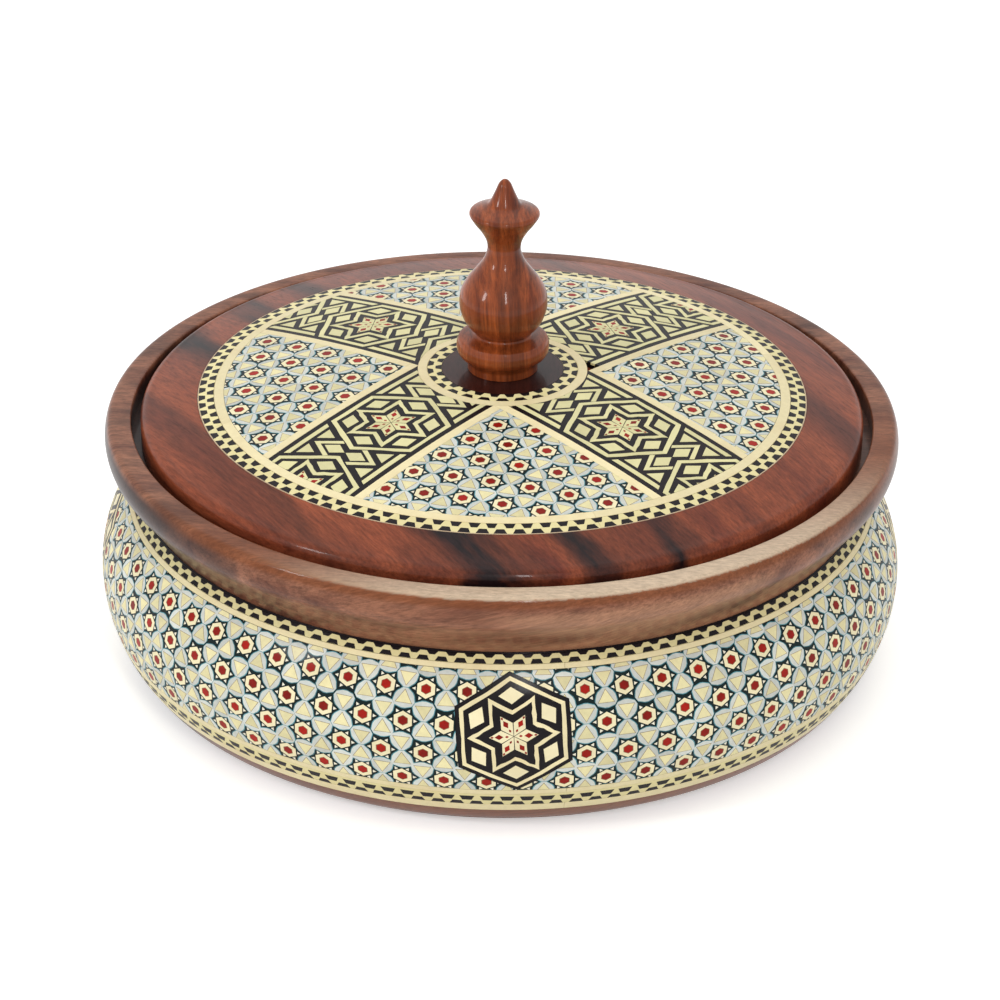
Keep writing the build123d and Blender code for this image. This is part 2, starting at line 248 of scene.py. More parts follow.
fibre_tone = ranged(figure, fibres, 0.34, 0.66, 1.32, 0.64)
fibred = mixed(figure, 1.0, streaked, fibre_tone, "MULTIPLY")
set_sockets(figure, wood_out, {"Color": fibred, "Height": fibres, "Pores": pores})
board_width = 220
waver_width = 24
ragged_width = 1.2


def lacquered_wood(name, pale, deep, streak, band_scale, streak_amount, fibre_scale, grain,
                   turned=(0, 0, 0), gloss=0.06, lacquer=0.3, across=(1, 0, 0), laid=(),
                   layers=()):
    """Wood under clear lacquer. grain is the stretch of the figure along each axis, laid
    the dark streaks as (mm across the board, half width, depth), and layers pale and
    dark patches laid over the figure as (colour, share, cuts), each cut a way with its
    start and end in mm. On the walnut one layer is a painted highlight and one a painted
    reflection."""
    material, tree, shader = new_material(name)
    place = add_node(tree, "TexCoord").outputs["Object"]
    rotation = tuple(radians(angle) for angle in turned)
    board = add_node(tree, "Mapping", {"Vector": place, "Rotation": rotation})
    drawn = add_node(tree, "Mapping", {"Vector": board.outputs[0], "Scale": grain}).outputs[0]
    values = {"Place": drawn, "Pale": srgb(*pale), "Deep": srgb(*deep), "Streak": srgb(*streak)}
    values.update({"Band Scale": band_scale, "Streak Amount": streak_amount})
    values["Fibre Scale"] = fibre_scale
    figured = add_node(tree, "Group", values, node_tree=figure)
    if laid:
        waver = noise_over(tree, drawn, 90.0, 4.0)
        side = measured(tree, place, across)
        wavy = reckoned(tree, "MULTIPLY_ADD", waver, waver_width * MM, side)
        edge = (waver_width - board_width) / 2
        along_ramp = ranged(tree, wavy, edge * MM, (edge + board_width) * MM)
        ramp = add_node(tree, "ValToRGB", {"Fac": along_ramp})
        ramp.color_ramp.interpolation = "EASE"
        for stop in ramp.color_ramp.elements:
            stop.color = (0, 0, 0, 1)
        for middle, half_width, depth in laid:
            for lean, shade in ((-half_width, 0.0), (0, depth), (half_width, 0.0)):
                stop = ramp.color_ramp.elements.new(0.5 + (middle + lean) / board_width)
                stop.color = (shade, shade, shade, 1)
        set_sockets(tree, figured, {"Laid Streaks": ramp.outputs["Color"]})
    colour = figured.outputs["Color"]
    fibre = figured.outputs["Height"]
    if layers:
        layer_tone = ranged(tree, fibre, 0.36, 0.64, 1.14, 0.76)
    for layer_colour, share, cuts in layers:
        amount = share
        for way, start, end in cuts:
            reach = measured(tree, place, way)
            ragged = reckoned(tree, "MULTIPLY_ADD", fibre, ragged_width * MM, reach)
            cut = ranged(tree, ragged, start * MM, end * MM, easing="SMOOTHSTEP")
            amount = reckoned(tree, "MULTIPLY", amount, cut)
        layer = mixed(tree, 1.0, srgb(*layer_colour), layer_tone, "MULTIPLY")
        colour = mixed(tree, amount, colour, layer)
    ripple = noise_over(tree, place, 140.0, 2.0)
    set_sockets(
        tree,
        shader,
        {"Base Color": colour, "Roughness": ranged(tree, figured.outputs["Pores"], 0, 1, 0.34, 0.55),
         "Normal": bumped(tree, fibre, 0.12, 0.1), "Coat Normal": bumped(tree, ripple, 0.05, 0.4),
         "Specular IOR Level": 0.1, "Coat Weight": lacquer, "Coat Roughness": gloss,
         "Coat IOR": 1.45},
    )
    return material


up_way = (0, 0, 1)
front_way = (0.342, -0.94, 0)
left_way = (-1, 0, 0)
walnut = lacquered_wood(
    "walnut_lacquer",
    pale=(158, 106, 80),
    deep=(96, 54, 40),
    streak=(48, 30, 27),
    band_scale=150.0,
    streak_amount=0.5,
    lacquer=0.2,
    gloss=0.08,
    fibre_scale=1500.0,
    grain=(0.1, 1.0, 1.0),
    turned=(0, 14, 4),
    layers=(
        # Paler towards the front right on the lip and on the lower neck.
        ((196, 148, 116), 0.5, ((up_way, 63.0, 60.5), (front_way, 92.5, 98.0))),
        ((190, 138, 104), 0.45, ((up_way, 52.5, 48.5), (front_way, 60.0, 88.0))),
        # Darker towards the bottom.
        ((116, 66, 44), 0.8, ((up_way, 22.0, 16.0),)),
        # Darker towards the left and right ends, below the rim top.
        ((46, 30, 28), 0.9, ((left_way, 58.0, 88.0), (up_way, 65.2, 63.4))),
        ((74, 50, 40), 0.6, ((left_way, -74.0, -92.0), (up_way, 65.2, 63.4))),
        # Painted reflection: a dark golden band round the top of the lip, towards the front.
        ((128, 70, 36), 0.7, ((up_way, 62.4, 64.2), (front_way, 12.0, 55.0))),
        # Painted highlight: a pale band on the rim top and its outer edge at the front.
        ((216, 194, 166), 0.88, ((up_way, 64.9, 65.5), (front_way, 52.0, 99.0))),
    ),
)
lip_centre = (lip_radius - lip_arc, bowl_height - lip_drop)
under = radians(lip_under_angle)
lip_under = (lip_centre[0] + lip_arc * cos(under), lip_centre[1] - lip_arc * sin(under))
crease = belly_place(neck_travel + glue_gap)
reach = (crease[0] - lip_under[0], crease[1] - lip_under[1])
cove_arc = hypot(*reach) ** 2 / (2 * (reach[0] * cos(under) - reach[1] * sin(under)))
cove_centre = (lip_under[0] + cove_arc * cos(under), lip_under[1] - cove_arc * sin(under))
cove_end = degrees(atan2(crease[1] - cove_centre[1], crease[0] - cove_centre[0])) % 360
roll = radians(lower_arc_angle)
roll_start = belly_place(-lower_belly_arc * roll)
roll_centre = (roll_start[0] - base_roll_arc * cos(roll), roll_start[1] + base_roll_arc * sin(roll))
base_edge_radius = roll_centre[0] + base_roll_arc * cos(radians(base_roll_end))
cavity_rise = ledge_height - mouth_depth - cavity_line_height
cavity_step = cavity_radius - mouth_radius
cavity_arc = (cavity_rise**2 + cavity_step**2) / (2 * cavity_step)
cavity_centre = (cavity_radius - cavity_arc, cavity_line_height)
cavity_top = degrees(asin(cavity_rise / cavity_arc))
floor_centre = (cavity_radius - floor_arc, cavity_line_height)
floor_height = cavity_line_height - floor_arc
recess_low = degrees((inlay_end - glue_gap) / lower_belly_arc)
recess_steps = 24
lower_centre = (belly_radius - lower_belly_arc, belly_line_height)
bowl_section = [(0, 0), (floor_flat, 0), (groove_inner, 0), (groove_inner, groove_depth)]
bowl_section += [(groove_outer, groove_depth), (groove_outer, 0), (base_edge_radius, 0)]
bowl_section += arc_points(roll_centre, base_roll_arc, -base_roll_end, -lower_arc_angle, 14)
bowl_section += arc_points(lower_centre, lower_belly_arc, -lower_arc_angle, recess_low, 5)[1:]
for step in range(recess_steps + 1):
    travel = inlay_end - glue_gap + (neck_travel + 2 * glue_gap - inlay_end) * step / recess_steps
    bowl_section.append(belly_place(travel, recess_depth))
bowl_section.append(crease)
bowl_section += arc_points(cove_centre, cove_arc, cove_end, 180 - lip_under_angle, 22)[1:]
bowl_section += arc_points(lip_centre, lip_arc, -lip_under_angle, lip_over_angle, 22)[1:]
bowl_section += soft_corner(
    bowl_section[-1], (lip_centre[0] + lip_corner, bowl_height), (lip_centre[0] + lip_flat, bowl_height)
)[1:]
bowl_section.append((rim_inner_radius + rim_round, bowl_height))
bowl_section += soft_corner(
    bowl_section[-1], (rim_inner_radius, bowl_height), (rim_inner_radius, bowl_height - rim_round)
)[1:]
bowl_section += [(rim_inner_radius, ledge_height), (mouth_radius + mouth_round, ledge_height)]
bowl_section += [(mouth_radius, ledge_height - mouth_round), (mouth_radius, ledge_height - mouth_depth)]
bowl_section += arc_points(cavity_centre, cavity_arc, cavity_top, 0, 14)[1:]
bowl_section += arc_points(floor_centre, floor_arc, 0, -90, 16)[1:]
bowl_section += [(floor_flat, floor_height), (0, floor_height)]
bowl_shell = turn_on_lathe("bowl_shell_turned", bowl_section, 256)
bowl_shell.data.materials.append(walnut)
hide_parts("bowl_shell")
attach(bowl_shell, "bowl")

# Plain strips of the belly
# Thin strips of ebony and camel bone, steamed, bent round the belly and glued in
# the recess one above the other, then scraped flush with the wood.
seam = 0.05
inlay_bottom = 1.6
chip_bottom = 0.6
chip_tones = Random(7)

# Chip colour: each cut piece has its own tone, with faint grain and speckle of bone
chip_colour, chip_in, chip_out = node_group(
    "chip_colour",
    {"Colour": "Color", "Spread": "Float", "Stain": "Color"},
    {"Color": "Color", "Height": "Float"},
)
tone = add_node(chip_colour, "Attribute", attribute_name="tone").outputs["Fac"]
chip_place = add_node(chip_colour, "TexCoord").outputs["Object"]
speckle = noise_over(chip_colour, chip_place, 650.0, 4.0, 0.65)
clouds = noise_over(chip_colour, chip_place, 90.0, 3.0)
tone_shift = ranged(chip_colour, tone, 0, 1, -1.0, 1.0)
speckle_shift = ranged(chip_colour, speckle, 0.25, 0.75, -0.7, 0.7)
shift = reckoned(chip_colour, "ADD", tone_shift, speckle_shift)
level = reckoned(chip_colour, "MULTIPLY_ADD", shift, chip_in["Spread"], 1.0)
toned = mixed(chip_colour, 1.0, chip_in["Colour"], level, "MULTIPLY")
stain_cut = ranged(chip_colour, clouds, 0.5, 0.8, 0.0, 0.3)
stained = mixed(chip_colour, stain_cut, toned, chip_in["Stain"])
set_sockets(chip_colour, chip_out, {"Color": stained, "Height": speckle})


def inlay_material(name, colour, spread, stain):
    """Bone, shell or ebony under clear lacquer, in one colour of the pattern."""
    material, tree, shader = new_material(name)
    values = {"Colour": srgb(*colour), "Spread": spread, "Stain": srgb(*stain)}
    chip = add_node(tree, "Group", values, node_tree=chip_colour)
    set_sockets(
        tree,
        shader,
        {"Base Color": chip.outputs["Color"], "Roughness": 0.4, "Specular IOR Level": 0.08,
         "Normal": bumped(tree, chip.outputs["Height"], 0.1, 0.1), "Coat Weight": 0.16,
         "Coat Roughness": 0.16, "Coat IOR": 1.5},
    )
    return material


bone = inlay_material("bone_cream", (240, 226, 180), 0.08, (206, 172, 118))
tooth_bone = inlay_material("tooth_bone", (234, 222, 166), 0.08, (204, 178, 118))
ebony = inlay_material("ebony_black", (22, 16, 20), 0.3, (40, 30, 28))


def clipped(polygon, across, along, limit):
    """The part of a convex polygon where across * u + along * v is under the limit."""
    kept = []
    for index, (u, v) in enumerate(polygon):
        next_u, next_v = polygon[(index + 1) % len(polygon)]
        here = across * u + along * v - limit
        there = across * next_u + along * next_v - limit
        if here <= 0:
            kept.append((u, v))
        if here * there < 0:
            t = here / (here - there)
            kept.append((u + (next_u - u) * t, v + (next_v - v) * t))
    return kept


def area(polygon):
    total = 0.0
    for index, (u, v) in enumerate(polygon):
        next_u, next_v = polygon[(index + 1) % len(polygon)]
        total += u * next_v - next_u * v
    return total / 2


def sliced(polygon, axis, step):
    """A convex polygon cut into lanes, so that it can follow a curved surface."""
    low = min(point[axis] for point in polygon)
    high = max(point[axis] for point in polygon)
    across, along = (1, 0) if axis == 0 else (0, 1)
    parts = []
    for lane in range(floor(low / step), ceil(high / step)):
        part = clipped(polygon, -across, -along, -lane * step)
        part = clipped(part, across, along, (lane + 1) * step) if part else part
        if len(part) > 2 and area(part) > 1e-5:
            parts.append(part)
    return parts


def lay_chips(name, chips, surface, lanes, materials):
    """One mesh of closed chips. Each chip is (convex parts, top depth, bottom depth,
    stuff) in mm, and surface gives the place and outward direction of a point."""
    vertices = []
    faces = []
    stuffs = []
    tones = []
    directions = []
    for parts, top, bottom, stuff in chips:
        if sum(area(part) for part in parts) < 0.01:
            continue
        pieces = [piece for part in parts for piece in sliced(part, 0, lanes[0])]
        pieces = [part for piece in pieces for part in sliced(piece, 1, lanes[1])]
        corners = {}
        walls = {}
        chip_tone = chip_tones.random()
        first = len(faces)
        for piece in pieces:
            loop = []
            for u, v in piece:
                key = (round(u, 3), round(v, 3))
                if key not in corners:
                    corners[key] = len(vertices)
                    place, outward = surface(u, v)
                    vertices.append((place - outward * top) * MM)
                    vertices.append((place - outward * bottom) * MM)
                    directions.append(outward)
                    directions.append(outward)
                loop.append(corners[key])
            loop = [corner for index, corner in enumerate(loop) if corner != loop[index - 1]]
            if len(set(loop)) < 3 or len(set(loop)) != len(loop):
                continue
            faces.append(loop)
            faces.append([corner + 1 for corner in reversed(loop)])
            for index, start in enumerate(loop):
                end = loop[(index + 1) % len(loop)]
                if (end, start) in walls:
                    del walls[(end, start)]
                else:
                    walls[(start, end)] = True
        for start, end in walls:
            faces.append([start, start + 1, end + 1, end])
        stuffs += [stuff] * (len(faces) - first)
        tones += [chip_tone] * (len(faces) - first)
    mesh = bpy.data.meshes.new(name)
    mesh.from_pydata(vertices, [], faces)
    mesh.attributes.new("tone", "FLOAT", "FACE").data.foreach_set("value", tones)
    mesh.polygons.foreach_set("material_index", stuffs)
    normals = []
    for polygon in mesh.polygons:
        on_top = all(corner % 2 == 0 for corner in polygon.vertices)
        for corner in polygon.vertices:
            normals.append(directions[corner] if on_top else polygon.normal.copy())
    mesh.shade_smooth()
    mesh.normals_split_custom_set(normals)
    for material in materials:
        mesh.materials.append(material)
    piece = bpy.data.objects.new(name, mesh)
    bpy.context.scene.collection.objects.link(piece)
    return piece


def on_belly(u, v):
    """Place on the belly, u mm round it at the widest line and v mm up its curve."""
    radius, height = belly_place(v)
    turn = u / belly_radius
    arc = upper_belly_arc if v >= 0 else lower_belly_arc
    lean = v / arc
    place = Vector((radius * sin(turn), -radius * cos(turn), height))
    outward = Vector((cos(lean) * sin(turn), -cos(lean) * cos(turn), sin(lean)))
    return place, outward


def strip_polygon(low, high, start=0.0, end=2 * pi * belly_radius):
    return [(start, low), (end, low), (end, high), (start, high)]


belly_lanes = (4.2, 1.45)
belly_length = 2 * pi * belly_radius
joint_count = 5
first_joint = 0.13
joint_gap = 0.08
for node, low, high, stuff, slot_name in (
    ("neck_black_line", 24.83, 25.28, ebony, "black_wood"),
    ("upper_cream_line", 20.98, 22.28, bone, "cream_inlay"),
    ("lower_cream_line", -11.85, -10.35, bone, "cream_inlay"),
    ("base_cream_line", -18.9, -16.15, bone, "cream_inlay"),
):
    chips = []
    for k in range(joint_count):
        start = belly_length * (k + first_joint) / joint_count
        end = start + belly_length / joint_count - joint_gap
        chips.append(([strip_polygon(low, high, start, end)], 0.0, inlay_bottom, 0))
    strip = lay_chips(f"{node}_strips", chips, on_belly, belly_lanes, [stuff])
    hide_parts(node)
    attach(strip, "bowl")

# Toothed strips of the belly
# Sawn from a glued-up stick of bone and ebony, so that the end shows a cream
# zigzag with black teeth above and below. Bent and glued in like the plain strips.
tooth_sway = 0.07
tooth_uneven = 0.06
tooth_ground = 0.03


def tooth_chips(rows, pitch_count, round_length):
    """Staggered rows of black teeth. A row is its wide edge, its narrow edge, and how
    much of the pitch those edges fill."""
    pitch = round_length / pitch_count
    chips = []
    for number, (wide, narrow, wide_share, narrow_share) in enumerate(rows):
        for k in range(pitch_count):
            centre = (k + 0.5 * number + (chip_tones.random() - 0.5) * tooth_sway) * pitch
            wide_half = (wide_share + (chip_tones.random() - 0.5) * tooth_uneven) * pitch / 2
            narrow_half = narrow_share * pitch / 2
            tooth = [(centre - wide_half, wide), (centre + wide_half, wide)]
            tooth += [(centre + narrow_half, narrow), (centre - narrow_half, narrow)]
            if area(tooth) < 0:
                tooth.reverse()
            chips.append(([tooth], 0.0, chip_bottom, 1))
    return chips


tooth_count = 132
for node, low, high, rows in (
    ("upper_tooth_band", 22.38, 24.73, ((22.42, 23.55, 0.68, 0.42), (24.73, 23.9, 0.62, 0.3))),
    (
        "lower_tooth_band",
        -16.05,
        -11.95,
        ((-16.05, -14.75, 0.72, 0.44), (-12.75, -14.35, 0.74, 0.46)),
    ),
):
    chips = [([strip_polygon(low, high)], tooth_ground, inlay_bottom, 0)]
    chips += tooth_chips(rows, tooth_count, belly_length)
    band = lay_chips(f"{node}_teeth", chips, on_belly, belly_lanes, [tooth_bone, ebony])
    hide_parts(node)
    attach(band, "bowl")

# Belly panels
# Sheets sawn across bundles of thin rods: a six-pointed dark star with a bone ring
# and a red heart, and blue-grey shell with a yellow triangle between the stars.
field_low = -10.25
field_high = 20.88
field_middle = (field_low + field_high) / 2
ground_depth = 0.075
medallion_reach = 15.4
medallion_tilt = 3.7
medallion_turn = 2.1
star_ground = inlay_material("stained_dark_green", (5, 27, 28), 0.3, (10, 50, 52))
teal_edge = inlay_material("stained_teal", (84, 140, 150), 0.3, (130, 166, 172))
blue_shell = inlay_material("blue_grey_shell", (208, 211, 203), 0.14, (180, 198, 202))
yellow_bone = inlay_material("yellow_bone", (230, 220, 170), 0.12, (196, 180, 124))
white_bone = inlay_material("white_bone", (244, 238, 216), 0.05, (220, 200, 170))
red_bone = inlay_material("red_bone", (150, 20, 8), 0.3, (110, 26, 12))
ring_bone = inlay_material("ring_bone", (244, 232, 190), 0.06, (220, 200, 150))
seam_brown = inlay_material("seam_brown", (140, 112, 80), 0.2, (100, 80, 60))
field_stuffs = [star_ground, teal_edge, blue_shell, yellow_bone, white_bone, red_bone]
field_stuffs += [ring_bone, seam_brown]
GROUND, TEAL, SHELL, YELLOW, WHITE, RED, BONE_RING, SEAM = range(8)


def ring_of(centre, reach, count, start):
    """Corner points of a regular figure in pitch units, angles in degrees."""
    return [
        (
            centre[0] + reach * cos(radians(start + 360 * k / count)),
            centre[1] + reach * sin(radians(start + 360 * k / count)),
        )
        for k in range(count)
    ]


# Rods of one star, as shares of its pitch
ring_reach = 0.255
heart_seam_reach = 0.142
heart_reach = 0.124
triangle_rise = 0.2887
triangle_seam_reach = 0.248
triangle_reach = 0.228
dot_corners = ((0.345, 0.0), (0.26, 0.044), (0.26, -0.044))
# Petals: half waist, waist, notch, lean in degrees, depth in mm, stuff
petals = ((0.08, 0.2887, 0.274, 8, 0.055, TEAL), (0.058, 0.28, 0.252, 11, 0.035, SHELL))
rod_bottom = 0.5
star_sway = 0.022
star_slew = 5


def swung(a, b, turn):
    """A point turned about the middle."""
    return (a * cos(turn) - b * sin(turn), a * sin(turn) + b * cos(turn))


def star_cell(chips, centre, row, column):
    """The rods round one star. row and column are the pitch vectors of its sheet."""
    sway = [(chip_tones.random() - 0.5) * star_sway for k in range(2)]
    slew = radians((chip_tones.random() - 0.5) * star_slew)

    def laid(points, top, stuff):
        polygon = []
        for a, b in points:
            a, b = swung(a, b, slew)
            a, b = a + sway[0], b + sway[1]
            polygon.append(
                (centre[0] + a * row[0] + b * column[0], centre[1] + a * row[1] + b * column[1])
            )
        chips.append((polygon, top, rod_bottom, stuff))

    laid(ring_of((0, 0), ring_reach, 6, 30), 0.03, BONE_RING)
    laid(ring_of((0, 0), heart_seam_reach, 6, 30), 0.018, SEAM)
    laid(ring_of((0, 0), heart_reach, 6, 30), 0.005, RED)
    for k in range(6):
        laid([swung(*corner, radians(60 * k)) for corner in dot_corners], 0.02, WHITE)
    for side, start in ((1, -90), (-1, 90)):
        middle = (0.5, side * triangle_rise)
        for half_waist, waist, notch, lean, depth, stuff in petals:
            petal = []
            for k in range(3):
                turn = radians(start + 120 * k)
                for across in (-half_waist, half_waist):
                    petal.append(
                        (
                            middle[0] + waist * cos(turn) - across * sin(turn),
                            middle[1] + waist * sin(turn) + across * cos(turn),
                        )
                    )
                for swing in (60 - lean, 60 + lean):
                    turn = radians(start + 120 * k + swing)
                    petal.append((middle[0] + notch * cos(turn), middle[1] + notch * sin(turn)))
            laid(petal, depth, stuff)
        laid(ring_of(middle, triangle_seam_reach, 3, start), 0.018, SEAM)
        laid(ring_of(middle, triangle_reach, 3, start), 0.008, YELLOW)


def medallion_outline(turn_degrees, reach):
    """Corners of the medallion on the unrolled belly."""
    corners = []
    for k in range(6):
        angle = radians(90 + medallion_tilt + 60 * k)
        up = field_middle + reach * sin(angle)
        across = reach * cos(angle) * belly_radius / belly_place(up)[0]
        corners.append((radians(turn_degrees) * belly_radius + across, up))
    return corners


def outside(polygon, hole):
    """The parts of a convex polygon outside a convex hole with corners anticlockwise."""
    parts = []
    rest = polygon
    for index, (u, v) in enumerate(hole):
        next_u, next_v = hole[(index + 1) % len(hole)]
        across, along = next_v - v, u - next_u
        limit = across * u + along * v
        if not rest:
            break
        cut = clipped(rest, -across, -along, -limit)
        if len(cut) > 2 and area(cut) > 0.004:
            parts.append(cut)
        rest = clipped(rest, across, along, limit)
    return parts


row_heights = (15.67, 7.63, -0.14, -7.6)
row_pitch = 7.757
lattice_rise = 0.866
for index, (name, pitch_angle, phase) in enumerate(
    (
        ("front_right", 5.580, 0.1095),
        ("back_right", 5.59, 0.31),
        ("back_left", 5.57, 0.62),
        ("front_left", 5.5915, 0.236),
    )
):
    start_angle = medallion_turn + 90 * index
    end_angle = start_angle + 90
    left_edge = radians(start_angle) * belly_radius + seam
    right_edge = radians(end_angle) * belly_radius - seam
    hole_reach = medallion_reach + glue_gap
    holes = [medallion_outline(angle, hole_reach) for angle in (start_angle, end_angle)]
    step = radians(pitch_angle) * belly_radius
    column = (0.0, row_pitch / lattice_rise)
    offset = 360 if name == "front_left" else 0
    ground = strip_polygon(field_low, field_high, left_edge, right_edge)
    sheet = [(ground, ground_depth, inlay_bottom, GROUND)]
    for row_number in range(-2, 6):
        nearest = min(max(row_number, 0), 3)
        height = row_heights[nearest] - (row_number - nearest) * row_pitch
        first = floor((start_angle - offset) / pitch_angle) - 1
        last = ceil((end_angle - offset) / pitch_angle) + 1
        for n in range(first, last + 1):
            turn = pitch_angle * (n + phase + 0.5 * (row_number % 2)) + offset
            star_cell(sheet, (radians(turn) * belly_radius, height), (step, 0.0), column)
    limits = ((1, 0, right_edge), (-1, 0, -left_edge), (0, 1, field_high), (0, -1, -field_low))
    chips = []
    for polygon, top, bottom, stuff in sheet:
        for limit in limits:
            if polygon:
                polygon = clipped(polygon, *limit)
        if len(polygon) < 3:
            continue
        parts = [polygon]
        for hole in holes:
            low_u, high_u = min(u for u, v in hole), max(u for u, v in hole)
            if max(u for u, v in polygon) > low_u and min(u for u, v in polygon) < high_u:
                parts = [piece for part in parts for piece in outside(part, hole)]
        chips.append((parts, top, bottom, stuff))
    panel = lay_chips(f"belly_panel_{name}_stars", chips, on_belly, belly_lanes, field_stuffs)
    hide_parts(f"belly_panel_{name}")
    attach(panel, "bowl")

# Medallions
# Six-sided plates sawn from one thick rod: ebony ground, a bone outline, a bone
# star outline, six bone lozenges and a small star with red lozenges in the middle.
star_plate_stuffs = [ebony, bone, ring_bone, red_bone]
EBONY, BONE, PALE, CRIMSON = range(4)
bar_waver = 0.34
plate_depth = 0.05


def outline_bars(chips, corners, width, laid):
    """Bars along the inside of a closed outline, mitred at its corners, each a little
    uneven along its length as a hand-sawn strip is."""
    count = len(corners)
    inner = []
    for k in range(count):
        before, here, after = corners[k - 1], corners[k], corners[(k + 1) % count]
        in_way = Vector((here[0] - before[0], here[1] - before[1])).normalized()
        out_way = Vector((after[0] - here[0], after[1] - here[1])).normalized()
        in_side = Vector((-in_way.y, in_way.x))
        out_side = Vector((-out_way.y, out_way.x))
        mitre = in_side + out_side
        mitre = mitre * (width / mitre.dot(in_side))
        inner.append((here[0] + mitre.x, here[1] + mitre.y))
    for k in range(count):
        after = (k + 1) % count
        edges = [(corners[k], inner[k])]
        for share in (0.25, 0.5, 0.75):
            pair = []
            for start, end in ((corners[k], corners[after]), (inner[k], inner[after])):
                waver = [(chip_tones.random() - 0.5) * bar_waver for axis in range(2)]
                pair.append(
                    tuple(start[i] + (end[i] - start[i]) * share + waver[i] for i in (0, 1))
                )
            edges.append(tuple(pair))
        edges.append((corners[after], inner[after]))
        parts = [laid([near[0], far[0], far[1], near[1]]) for near, far in zip(edges, edges[1:])]
        chips.append((parts, 0.0, chip_bottom, BONE))


def star_plate(chips, laid, reach, bar_width, star_tip, small_tip):
    """Pattern of one six-sided cell. reach is centre to corner of its bone outline,
    star_tip and small_tip the points of its two stars."""
    outline_bars(chips, ring_of((0, 0), reach, 6, 90), bar_width, laid)
    star = []
    for k in range(12):
        turn = radians(30 * k)
        corner = star_tip if k % 2 == 0 else star_tip / sqrt(3)
        star.append((corner * cos(turn), corner * sin(turn)))
    outline_bars(chips, star, bar_width * 0.9, laid)
    middle = (reach - bar_width * 1.15 + star_tip / sqrt(3)) / 2
    lozenge_half = 0.14 * reach
    marks = (
        (PALE, 0.012, small_tip, 0.02 * small_tip, small_tip / sqrt(3) / 2 - 0.1),
        (CRIMSON, 0.0, 0.78 * small_tip, 0.42 * small_tip, 0.115 * small_tip),
        (CRIMSON, 0.0, 0.95 * small_tip, 0.81 * small_tip, 0.05 * small_tip),
        (CRIMSON, 0.0, 0.36 * small_tip, 0.2 * small_tip, 0.05 * small_tip),
    )
    for k in range(6):
        turn = radians(30 + 60 * k)
        out = (cos(turn), sin(turn))
        side = (-sin(turn), cos(turn))
        lozenge = [
            (middle * out[0] + a * out[0] + b * side[0], middle * out[1] + a * out[1] + b * side[1])
            for a, b in (
                (lozenge_half, 0),
                (0, 1.5 * lozenge_half),
                (-lozenge_half, 0),
                (0, -1.5 * lozenge_half),
            )
        ]
        chips.append(([laid(lozenge)], 0.0, chip_bottom, PALE))
        turn = radians(60 * k)
        out = (cos(turn), sin(turn))
        side = (-sin(turn), cos(turn))
        for stuff, depth, outer, inner, half in marks:
            halfway = (outer + inner) / 2
            kite = [
                (outer * out[0], outer * out[1]),
                (halfway * out[0] + half * side[0], halfway * out[1] + half * side[1]),
                (inner * out[0], inner * out[1]),
                (halfway * out[0] - half * side[0], halfway * out[1] - half * side[1]),
            ]
            chips.append(([laid(kite)], depth, chip_bottom, stuff))


for index, name in enumerate(("front", "right", "back", "left")):
    turn = medallion_turn + 90 * index

    def on_plate(points, turn=turn):
        placed = []
        for a, b in points:
            tilt = radians(medallion_tilt)
            across = a * cos(tilt) - b * sin(tilt)
            up = field_middle + a * sin(tilt) + b * cos(tilt)
            scale = belly_radius / belly_place(up)[0]
            placed.append((radians(turn) * belly_radius + across * scale, up))
        return placed

    plate = on_plate(ring_of((0, 0), medallion_reach, 6, 90))
    chips = [([plate], plate_depth, inlay_bottom, EBONY)]
    star_plate(chips, on_plate, 0.93 * medallion_reach, 0.95, 10.9, 5.8)
    medallion = lay_chips(
        f"medallion_{name}_plate", chips, on_belly, belly_lanes, star_plate_stuffs
    )
    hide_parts(f"medallion_{name}")
    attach(medallion, "bowl")

# Lid disc
# Turned from a darker, redder board, domed on top with a rounded edge, a register
# that drops into the mouth, and a hollow underside. Lacquered like the bowl.
lid_radius = 91.2
dome_radius = 436.0
crown_height = 76.57
inlay_radius = 76.8
seat_height = 60.0
spigot_radius = 83.4
spigot_bottom = 57.0
hollow_radius = 76.0
hollow_crown = 66.4
lid_edge_round = 2.6


def dome_height(radius, depth=0.0):
    """Height of the lid's dome at a radius, depth mm under its surface."""
    return crown_height - dome_radius + sqrt((dome_radius - depth) ** 2 - radius**2)


lid_wood = lacquered_wood(
    "lid_wood_lacquer",
    pale=(152, 78, 48),
    deep=(100, 44, 30),
    streak=(30, 18, 20),
    band_scale=90.0,
    streak_amount=0.3,
    fibre_scale=1300.0,
    grain=(0.12, 1.0, 1.0),
    turned=(0, 0, 56.5),
    lacquer=0.18,
    across=(0.834, 0.552, 0),
    laid=((-77, 6, 0.5), (-50, 12, 1.0), (-27, 9, 0.9), (-8, 10, 0.9), (60, 8, 0.6)),
)
edge_radius = lid_radius - lid_edge_round
edge_height = dome_height(edge_radius)
recess = inlay_radius + glue_gap
hollow_rise = hollow_crown - spigot_bottom
hollow_arc = (hollow_radius**2 + hollow_rise**2) / (2 * hollow_rise)
lid_section = [(0, hollow_crown)]
for step in range(1, 13):
    radius = hollow_radius * step / 12
    lid_section.append((radius, hollow_crown - hollow_arc + sqrt(hollow_arc**2 - radius**2)))
lid_section += [(spigot_radius - 0.4, spigot_bottom), (spigot_radius, spigot_bottom + 0.4)]
lid_section += [(spigot_radius, seat_height), (lid_radius - 0.5, seat_height)]
lid_section += [(lid_radius, seat_height + 0.5)]
lid_section += arc_points(
    (edge_radius, edge_height - lid_edge_round), lid_edge_round, 0, 79, 12
)
for step in range(10):
    radius = edge_radius + (recess - edge_radius) * step / 9
    if radius < lid_section[-1][0]:
        lid_section.append((radius, dome_height(radius)))
